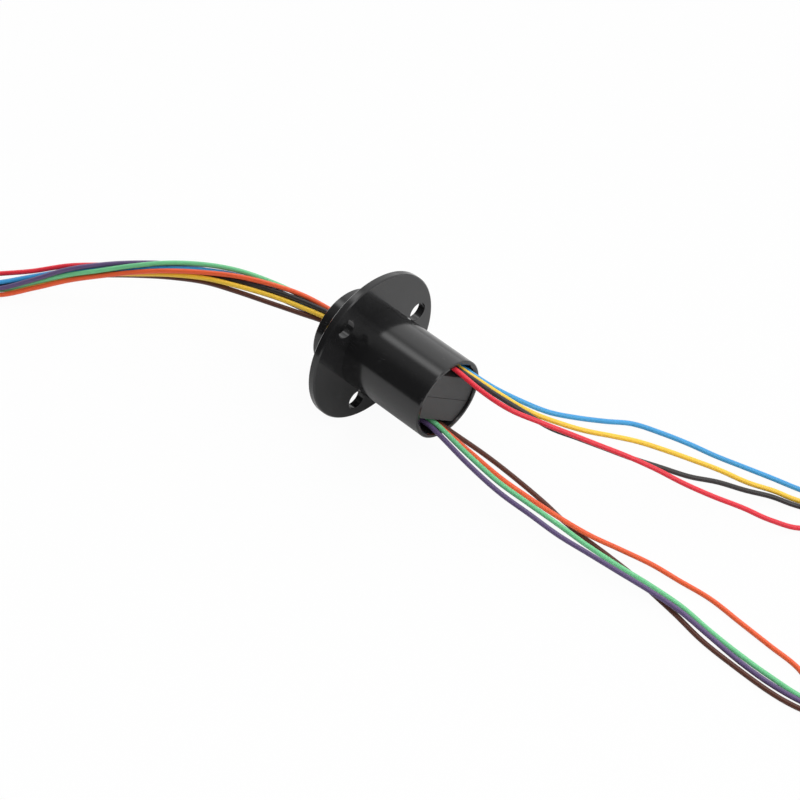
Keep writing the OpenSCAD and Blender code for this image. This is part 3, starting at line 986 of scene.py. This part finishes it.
@dataclass(frozen=True)
class StatorLeads:
    """The eight leads that come out of the stator's open end in two groups."""

    upper: SpareCoil = SpareCoil(
        "upper_lead_coil", "upper_coil_tie", (0.12, 0.053), 36.9, TurnSide.RIGHT, 1
    )
    lower: SpareCoil = SpareCoil(
        "lower_lead_coil", "lower_coil_tie", (0.148, 0.012), 0.0, TurnSide.LEFT, 1
    )
    holder_clock: float = 50.0
    inside_x: float = 0.02

    def exit_point(self, along: float, beside: float, x: float) -> Vector:
        """Return a place in the open end.

        Args:
            along: Distance along the holders' clock line.
            beside: Distance beside that line.
            x: Distance along the axis.

        Returns:
            The point.
        """
        clock = math.radians(self.holder_clock)
        return Vector(
            (
                x,
                along * math.cos(clock) - beside * math.sin(clock),
                along * math.sin(clock) + beside * math.cos(clock),
            )
        )

    def leads(self) -> Iterable[Lead]:
        """Return the stator's leads."""
        for circuit, (along, beside), coil, column, route in self.ways():
            yield Lead(
                circuit,
                "stator",
                self.exit_point(along, beside, self.inside_x),
                (
                    self.exit_point(along, beside, FRONT_X),
                    *(Vector(point) for point in route),
                ),
                coil,
                column,
                0,
            )

    def ways(
        self,
    ) -> Iterable[tuple[Circuit, tuple[float, float], SpareCoil, int, Sequence[Point]]]:
        """Return each lead's circuit, place, coil, column and route."""
        # fmt: off
        yield Circuit.BLUE, (0.0082, -0.0024), self.upper, 3, [
            (0.0335, 0.008, 0.004), (0.0405, 0.0105, 0.0025),
            (0.0465, 0.014, 0.0005), (0.0515, 0.019, -0.0015),
            (0.056, 0.0245, -0.0035), (0.06, 0.03, -0.0055),
            (0.0655, 0.0345, -0.008), (0.0715, 0.0385, -0.0105),
            (0.0775, 0.042, -0.013), (0.0835, 0.046, -0.0155),
            (0.0895, 0.05, -0.018), (0.0955, 0.0535, LAID),
            (0.1025, 0.056, LAID),
        ]
        yield Circuit.YELLOW, (0.0082, -0.0004), self.upper, 2, [
            (0.038, 0.0075, 0.004), (0.045, 0.0095, 0.0025),
            (0.0505, 0.013, 0.0005), (0.0555, 0.017, -0.0015),
            (0.0605, 0.022, -0.0035), (0.065, 0.0265, -0.0055),
            (0.0705, 0.031, -0.008), (0.0755, 0.035, -0.0105),
            (0.081, 0.039, -0.013), (0.087, 0.043, -0.016),
            (0.0925, 0.047, -0.018), (0.098, 0.0505, LAID),
        ]
        yield Circuit.BLACK, (0.0082, 0.0016), self.upper, 1, [
            (0.036, 0.0055, 0.0055), (0.0435, 0.0075, 0.0035),
            (0.0505, 0.01, 0.001), (0.056, 0.014, -0.0015),
            (0.0615, 0.018, -0.004), (0.067, 0.022, -0.0065),
            (0.0725, 0.0265, -0.009), (0.078, 0.031, -0.0115),
            (0.083, 0.036, -0.0135), (0.088, 0.041, -0.0165),
            (0.093, 0.0455, -0.0185), (0.099, 0.049, LAID),
        ]
        yield Circuit.RED, (0.0082, 0.0036), self.upper, 0, [
            (0.0355, 0.0025, 0.0075), (0.043, 0.004, 0.006),
            (0.0495, 0.0075, 0.004), (0.0555, 0.0115, 0.0015),
            (0.0615, 0.0155, -0.001), (0.0675, 0.0195, -0.0035),
            (0.0735, 0.023, -0.006), (0.08, 0.0265, -0.009),
            (0.086, 0.0305, -0.012), (0.092, 0.035, -0.015),
            (0.098, 0.039, -0.018), (0.104, 0.044, LAID),
        ]
        yield Circuit.ORANGE, (-0.0077, -0.0033), self.lower, 0, [
            (0.036, -0.002, -0.01), (0.0455, -0.0015, -0.012),
            (0.054, 0.0, -0.014), (0.0625, 0.0015, -0.0155),
            (0.0705, 0.0035, -0.017), (0.078, 0.006, -0.018),
            (0.086, 0.0085, -0.019), (0.0935, 0.01, -0.02),
            (0.1025, 0.011, LAID), (0.112, 0.0105, LAID),
            (0.1215, 0.01, LAID), (0.13, 0.0095, LAID),
        ]
        yield Circuit.GREEN, (-0.0073, -0.0017), self.lower, 1, [
            (0.0355, -0.0035, -0.009), (0.046, -0.0035, -0.011),
            (0.055, -0.0025, -0.0125), (0.0645, -0.001, -0.0145),
            (0.073, 0.0, -0.016), (0.0815, 0.0015, -0.0175),
            (0.0905, 0.003, -0.0185), (0.0995, 0.004, -0.0195),
            (0.1085, 0.0035, LAID), (0.118, 0.003, LAID),
            (0.127, 0.003, LAID), (0.1355, 0.0035, LAID),
        ]
        yield Circuit.PURPLE, (-0.0084, -0.0006), self.lower, 2, [
            (0.038, -0.0055, -0.0095), (0.0485, -0.0055, -0.0115),
            (0.058, -0.0045, -0.013), (0.0665, -0.0035, -0.0145),
            (0.075, -0.002, -0.0155), (0.0835, -0.0005, -0.0165),
            (0.092, 0.001, -0.0175), (0.1005, 0.002, -0.0185),
            (0.11, 0.0015, -0.019), (0.1195, 0.001, -0.0195),
            (0.1285, 0.001, -0.0195), (0.1365, 0.002, -0.0195),
        ]
        yield Circuit.BROWN, (-0.0075, -0.0049), self.lower, 3, [
            (0.0375, 0.001, -0.0115), (0.0465, 0.002, -0.0135),
            (0.056, 0.0025, -0.0155), (0.0625, 0.0025, -0.017),
            (0.069, 0.003, -0.0185), (0.077, 0.0035, -0.0195),
            (0.085, 0.0035, LAID), (0.0925, 0.0025, LAID),
            (0.1, 0.0015, LAID), (0.109, 0.0, LAID),
            (0.1185, -0.0005, LAID), (0.1295, -0.0005, LAID),
            (0.137, 0.0005, LAID),
        ]
        # fmt: on


@dataclass(frozen=True)
class RotorLeads:
    """The bundle of eight leads that comes out of the shaft and turns with it."""

    coil: SpareCoil = SpareCoil(
        "rotor_lead_coil", "rotor_coil_tie", (-0.11, -0.06), 222.0, TurnSide.LEFT, 2
    )
    potting_x: float = -0.0062
    front: Point = (0.5, -0.5, 0.7)

    def middle(self) -> list[Vector]:
        """Return the line of the bundle's middle."""
        # fmt: off
        return [Vector(point) for point in (
            (NOSE_X, 0.0, 0.0), (-0.024, -0.0015, -0.0005),
            (-0.0335, -0.0035, -0.0015), (-0.0435, -0.006, -0.0025),
            (-0.053, -0.009, -0.004), (-0.062, -0.0135, -0.0055),
            (-0.0705, -0.018, -0.008), (-0.0785, -0.023, -0.0105),
            (-0.0865, -0.0285, -0.013), (-0.094, -0.035, -0.016),
            (-0.101, -0.0415, -0.0184),
        )]
        # fmt: on

    def leads(self) -> Iterable[Lead]:
        """Return the rotor's leads."""
        middle = self.middle()
        ways = headings(middle)
        ways[0] = Vector((-1.0, 0.0, 0.0))
        front = Vector(self.front)
        for circuit, column, row, lay in self.lays():
            route = []
            for point, way, (high, near) in zip(middle, ways, lay):
                up = way.cross(front).normalized()
                route.append(point + high * up + near * up.cross(way))
            inside = route[0] + Vector((self.potting_x - NOSE_X, 0.0, 0.0))
            yield Lead(circuit, "rotor", inside, tuple(route), self.coil, column, row)

    def lays(
        self,
    ) -> Iterable[tuple[Circuit, int, int, Sequence[tuple[float, float]]]]:
        """Return each lead's circuit, column, row and places in the bundle."""
        # fmt: off
        yield Circuit.ORANGE, 0, 0, [
            (0.0015, 0.0003), (0.0021, 0.0008), (0.002, 0.0014),
            (0.0012, 0.0017), (0.0002, 0.002), (-0.0004, 0.0021),
            (-0.0008, 0.0018), (-0.0013, 0.0014), (-0.0019, 0.0011),
            (-0.0023, 0.0011), (-0.0026, 0.0012),
        ]
        yield Circuit.PURPLE, 0, 1, [
            (-0.0012, -0.001), (-0.0011, -0.0005), (-0.0005, -0.0002),
            (0.0002, -0.0007), (0.0009, -0.0007), (0.0015, 0.0),
            (0.0017, 0.0008), (0.0016, 0.0014), (0.0009, 0.0021),
            (-0.0002, 0.0023), (-0.0009, 0.002),
        ]
        yield Circuit.GREEN, 1, 0, [
            (0.0012, -0.001), (0.0017, -0.0006), (0.0025, 0.0001),
            (0.0027, 0.0009), (0.0023, 0.0012), (0.0017, 0.0015),
            (0.0009, 0.002), (0.0001, 0.002), (-0.0005, 0.0016),
            (-0.0008, 0.0009), (-0.0012, 0.0005),
        ]
        yield Circuit.BLUE, 1, 1, [
            (0.0, 0.0), (0.0003, 0.0), (0.001, -0.0004),
            (0.0014, 0.0002), (0.0009, 0.0008), (0.0003, 0.0009),
            (0.0003, 0.0007), (0.0004, 0.0006), (0.0006, 0.0007),
            (0.0008, 0.0011), (0.0007, 0.0016),
        ]
        yield Circuit.YELLOW, 2, 0, [
            (-0.0007, 0.0014), (-0.0008, 0.0013), (-0.0008, 0.0012),
            (-0.0012, 0.0015), (-0.0012, 0.0014), (-0.0013, 0.001),
            (-0.0012, 0.0004), (-0.0009, 0.0), (-0.001, -0.0002),
            (-0.0011, -0.0006), (-0.0012, -0.0011),
        ]
        yield Circuit.BLACK, 2, 1, [
            (0.0007, 0.0014), (0.0007, 0.0014), (0.0006, 0.0011),
            (0.0, 0.0008), (-0.0004, 0.0001), (-0.0005, -0.0003),
            (-0.0002, -0.0007), (0.0002, -0.0009), (0.0004, -0.0007),
            (0.0003, -0.0003), (0.0003, 0.0),
        ]
        yield Circuit.BROWN, 3, 0, [
            (-0.0015, 0.0003), (-0.0024, 0.0008), (-0.0026, 0.0009),
            (-0.0026, 0.0008), (-0.0022, 0.0004), (-0.002, -0.0003),
            (-0.0016, -0.001), (-0.0011, -0.0014), (-0.0007, -0.0017),
            (-0.0001, -0.0017), (0.0008, -0.002),
        ]
        yield Circuit.RED, 3, 1, [
            (0.0, -0.0016), (0.0001, -0.0015), (-0.0002, -0.0016),
            (-0.0005, -0.002), (-0.0002, -0.0016), (0.0007, -0.0012),
            (0.0013, -0.0006), (0.0016, -0.0003), (0.002, 0.0003),
            (0.0023, 0.0006), (0.0031, 0.0003),
        ]
        # fmt: on


# ------------------------------------------------------------- rigid sub-parts


@dataclass(frozen=True)
class RigidParts:
    """CAD nodes that keep their shape and get their finishes."""

    finishes: Mapping[str, str]

    def dress(self, workshop: Workshop) -> None:
        """Give each node its finish.

        Args:
            workshop: Where the finishes are made.
        """
        for node, slot in self.finishes.items():
            workshop.dress_node(node, slot)


STATOR_PARTS = RigidParts(
    {
        "housing": "housing_plastic",
        "upper_brush_holder": "holder_plastic",
        "lower_brush_holder": "holder_plastic",
        "upper_brush_board": "circuit_board",
        "lower_brush_board": "circuit_board",
        "upper_brushes": "gold_alloy",
        "lower_brushes": "gold_alloy",
        "upper_solder_joints": "solder",
        "lower_solder_joints": "solder",
        "rear_outer_race": "bearing_steel",
        "rear_retaining_ring": "spring_steel",
        "front_outer_race": "bearing_steel",
        "front_preload_washer": "spring_steel",
        "upper_coil_tie": "tie_nylon",
        "lower_coil_tie": "tie_nylon",
    }
)

CAGE_PARTS = RigidParts(
    {
        "rear_cage": "cage_bronze",
        "rear_balls": "bearing_steel",
        "front_cage": "cage_bronze",
        "front_balls": "bearing_steel",
    }
)

ROTOR_PARTS = RigidParts(
    {
        "rotor_shaft": "shaft_plastic",
        "lead_potting": "epoxy",
        "ring_spacers": "spacer_plastic",
        "stack_clip": "spring_steel",
        "bearing_sleeve": "bearing_steel",
        "rear_inner_race": "bearing_steel",
        "front_inner_race": "bearing_steel",
        "rotor_coil_tie": "tie_nylon",
        **{f"ring_{number}": "gold_plate" for number in range(1, RING_COUNT + 1)},
    }
)


# ---------------------------------------------------------------------- studio


@dataclass(frozen=True)
class SoftBox:
    """A rectangular studio light that points at the slip ring."""

    name: str
    way: Point
    distance: float
    size: tuple[float, float]
    radiance: float
    along: Point = (1.0, 0.0, 0.0)

    def make(self, target: Vector) -> None:
        """Hang the light.

        Args:
            target: The point that it is aimed at.
        """
        data = bpy.data.lights.new(self.name, "AREA")
        data.shape = "RECTANGLE"
        data.size = self.size[0]
        data.size_y = self.size[1]
        data.energy = self.radiance * math.pi * self.size[0] * self.size[1]
        light = bpy.data.objects.new(self.name, data)
        back = Vector(self.way).normalized()
        light.location = target + back * self.distance
        side = Vector(self.along)
        side = (side - back * side.dot(back)).normalized()
        up = back.cross(side)
        rows = ((side.x, up.x, back.x), (side.y, up.y, back.y), (side.z, up.z, back.z))
        light.rotation_euler = Matrix(rows).to_euler()
        bpy.context.scene.collection.objects.link(light)


@dataclass(frozen=True)
class Studio:
    """A pale surface, white surroundings, a soft light and the camera.

    The surroundings' ramps are pairs of angles in degrees: 0 is straight up, 90 is
    along +Y and -90 is along -Y.
    """

    camera_at: Point = (0.30539, -0.29627, 0.42236)
    camera_way: Point = (-0.4906, 0.4908, -0.72)
    lens: float = 107.83
    clip: tuple[float, float] = (0.01, 20.0)
    floor_size: float = 6.0
    floor_grey: float = 0.8
    paper_glow: float = 0.95
    dark_level: float = 0.04
    front_rise: tuple[float, float] = (-50.0, -12.0)
    front_level: float = 0.3
    lobe_rise: tuple[float, float] = (-6.0, 7.0)
    lobe_fall: tuple[float, float] = (9.0, 24.0)
    lobe_level: float = 2.3
    back_rise: tuple[float, float] = (10.0, 38.0)
    back_level: float = 0.95

    def camera(self) -> None:
        """Place the camera."""
        data = bpy.data.cameras.new("camera")
        data.lens = self.lens
        data.clip_start, data.clip_end = self.clip
        camera = bpy.data.objects.new("camera", data)
        camera.location = self.camera_at
        turn = Vector(self.camera_way).to_track_quat("-Z", "Y")
        camera.rotation_euler = turn.to_euler()
        bpy.context.scene.collection.objects.link(camera)
        bpy.context.scene.camera = camera

    def floor(self) -> None:
        """Lay the pale surface."""
        half = self.floor_size / 2
        corners = [
            Vector((x, y, SURFACE_Z))
            for x, y in ((-half, -half), (half, -half), (half, half), (-half, half))
        ]
        floor = mesh_object("floor", corners, [[0, 1, 2, 3]])
        paper = bpy.data.materials.new("paper")
        paper.use_nodes = True
        graph = Graph(paper.node_tree)
        matt = graph.node(
            "ShaderNodeBsdfDiffuse", sockets={"Color": rgba(WHITE[:3], self.floor_grey)}
        )
        glow = graph.node("ShaderNodeEmission", sockets={"Strength": 1.0})
        seen = graph.value(graph.node("ShaderNodeLightPath"), "Is Camera Ray")
        mixed = graph.node(
            "ShaderNodeMixShader",
            sockets={0: seen * self.paper_glow, 1: matt.outputs[0], 2: glow.outputs[0]},
        )
        graph.node("ShaderNodeOutputMaterial", sockets={0: mixed.outputs[0]})
        floor.data.materials.append(paper)
        floor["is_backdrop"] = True

    def surroundings(self) -> None:
        """Make the world: bright behind, a soft lobe overhead, dark in front."""
        world = bpy.data.worlds.new("studio")
        world.use_nodes = True
        bpy.context.scene.world = world
        graph = Graph(world.node_tree)
        way = graph.node("ShaderNodeTexCoord").outputs["Generated"]
        split = graph.node("ShaderNodeSeparateXYZ", sockets={0: way})
        tilt = graph.value(split, 1).arctan2(graph.value(split, 2)) * (180 / math.pi)
        front = tilt.ramp(*self.front_rise) * self.front_level
        lobe = tilt.ramp(*self.lobe_rise) * (1 - tilt.ramp(*self.lobe_fall))
        behind = tilt.ramp(*self.back_rise) * self.back_level
        level = front + lobe * self.lobe_level + behind + self.dark_level
        seen = graph.value(graph.node("ShaderNodeLightPath"), "Is Camera Ray")
        room, white = (
            graph.node(
                "ShaderNodeBackground", sockets={"Color": WHITE, "Strength": power}
            )
            for power in (level, 1.0)
        )
        mixed = graph.node(
            "ShaderNodeMixShader",
            sockets={0: seen, 1: room.outputs[0], 2: white.outputs[0]},
        )
        graph.node("ShaderNodeOutputWorld", sockets={0: mixed.outputs[0]})

    def lights(self) -> None:
        """Hang the light."""
        low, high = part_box("housing")
        key = SoftBox(
            name="key",
            way=(0.62, -0.3, 0.85),
            distance=0.9,
            size=(0.5, 0.5),
            radiance=3.6,
        )
        key.make((low + high) / 2)


def main() -> None:
    """Build the scene in order."""
    logging.basicConfig(level=logging.INFO, format="%(message)s")
    cad_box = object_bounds()
    studio = Studio()
    studio.camera()
    workshop = Workshop()
    maker = LeadMaker(workshop)
    strands = maker.strand_tree()
    for group in (StatorLeads(), RotorLeads()):
        for lead in group.leads():
            maker.make(lead, strands)
    for parts in (STATOR_PARTS, CAGE_PARTS, ROTOR_PARTS):
        parts.dress(workshop)
    studio.floor()
    studio.surroundings()
    studio.lights()
    bpy.context.scene.view_settings.view_transform = "Standard"
    boxes = {
        name: [list(corner) for corner in box]
        for name, box in (("cad", cad_box), ("visual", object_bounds()))
    }


if __name__ == "__main__":
    main()
